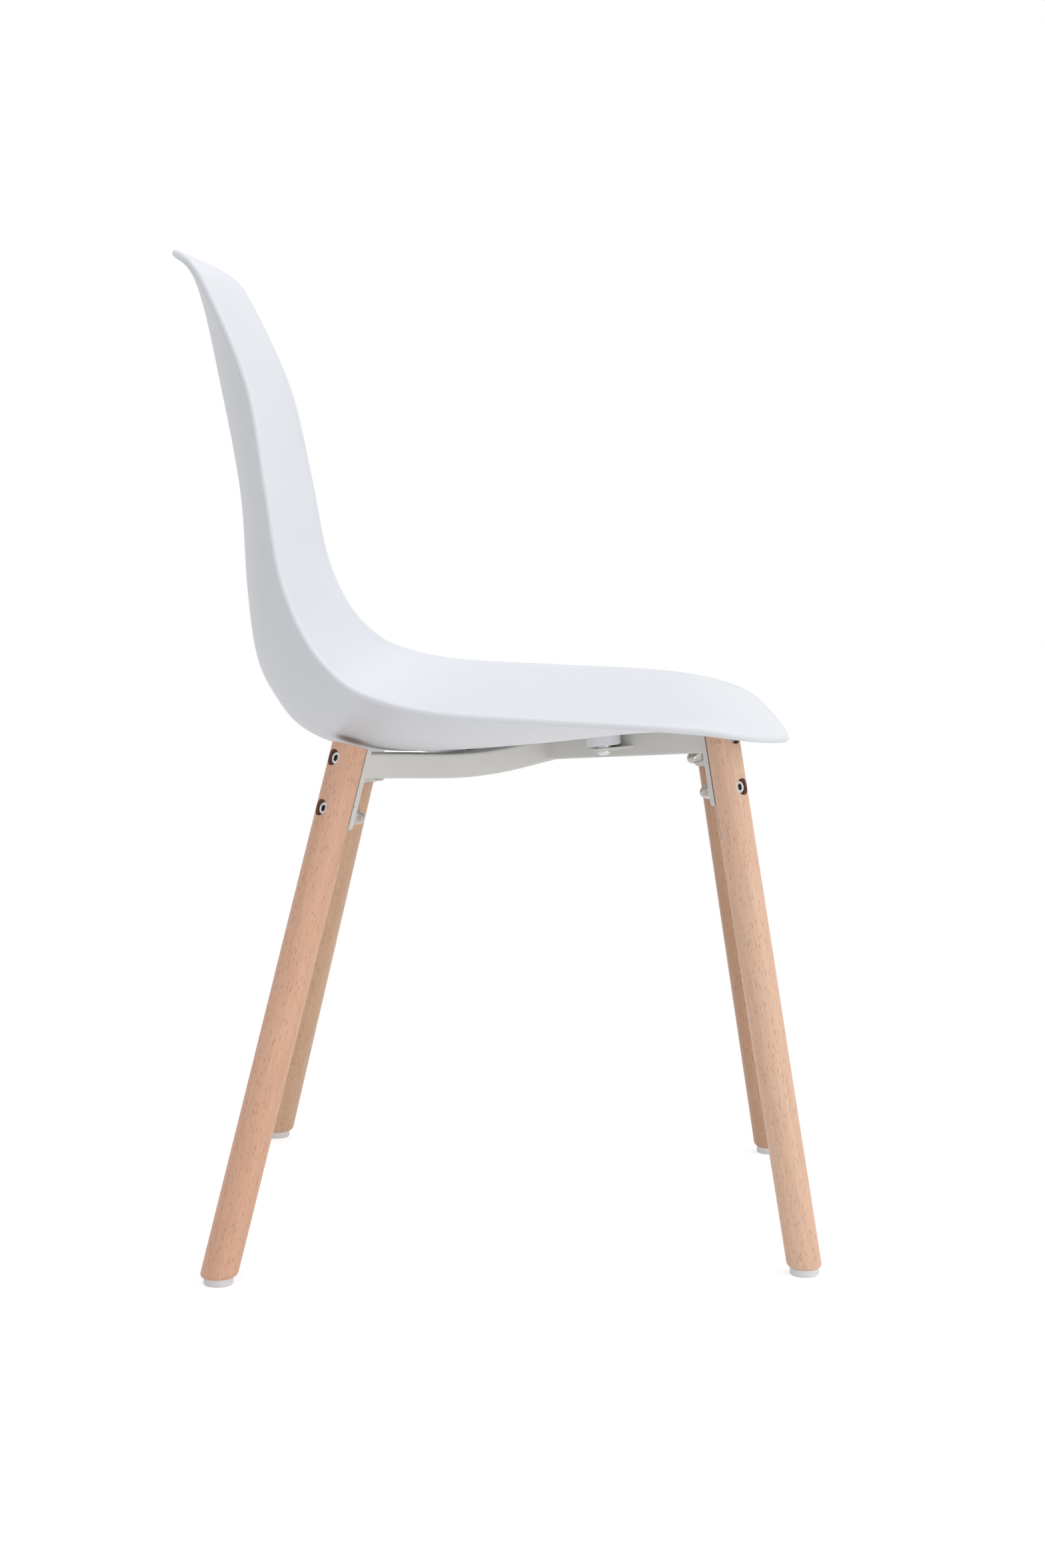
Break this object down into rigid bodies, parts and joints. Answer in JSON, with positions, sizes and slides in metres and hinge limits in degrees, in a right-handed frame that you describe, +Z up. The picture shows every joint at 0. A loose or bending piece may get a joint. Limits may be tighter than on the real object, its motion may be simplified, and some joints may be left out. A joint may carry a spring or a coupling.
{
  "type": "dining chair",
  "caption": "Armless chair with a one-piece moulded plastic seat shell on a painted X-shaped tube frame and four splayed round beech legs, each held by two socket-head bolts.",
  "frame": {"origin": "on the floor under the middle of the chair", "axes": "+Z up, the sitter faces -Y, +X to the sitter's left"},
  "size_m": [0.4824, 0.5359, 0.8185],
  "materials": {
    "shell_plastic": "fine satin",
    "frame_paint": "satin",
    "beech": "clear satin",
    "bolt_steel": "satin",
    "nut_steel": "semi-gloss",
    "spacer_steel": "satin",
    "insert_brass": "knurled",
    "pad_plastic": "matt"
  },
  "bodies": {
    "root": {"cap_nuts": "nut_steel", "foot_pad_front_left": "pad_plastic", "foot_pad_front_right": "pad_plastic", "foot_pad_rear_left": "pad_plastic", "foot_pad_rear_right": "pad_plastic", "frame_front_arm": "frame_paint", "frame_long_tube": "frame_paint", "frame_rear_arm": "frame_paint", "leg_bolts_front": "bolt_steel", "leg_bolts_rear": "bolt_steel", "leg_front_left": "beech", "leg_front_right": "beech", "leg_plate_front_left": "frame_paint", "leg_plate_front_right": "frame_paint", "leg_plate_rear_left": "frame_paint", "leg_plate_rear_right": "frame_paint", "leg_rear_left": "beech", "leg_rear_right": "beech", "pad_nails": "nut_steel", "seat_screws": "bolt_steel", "seat_shell": "shell_plastic", "seat_spacers": "spacer_steel", "seat_tab_front_left": "frame_paint", "seat_tab_front_right": "frame_paint", "seat_tab_rear_left": "frame_paint", "seat_tab_rear_right": "frame_paint", "shell_inserts": "insert_brass", "weld_nuts": "nut_steel"}
  },
  "joints": []
}
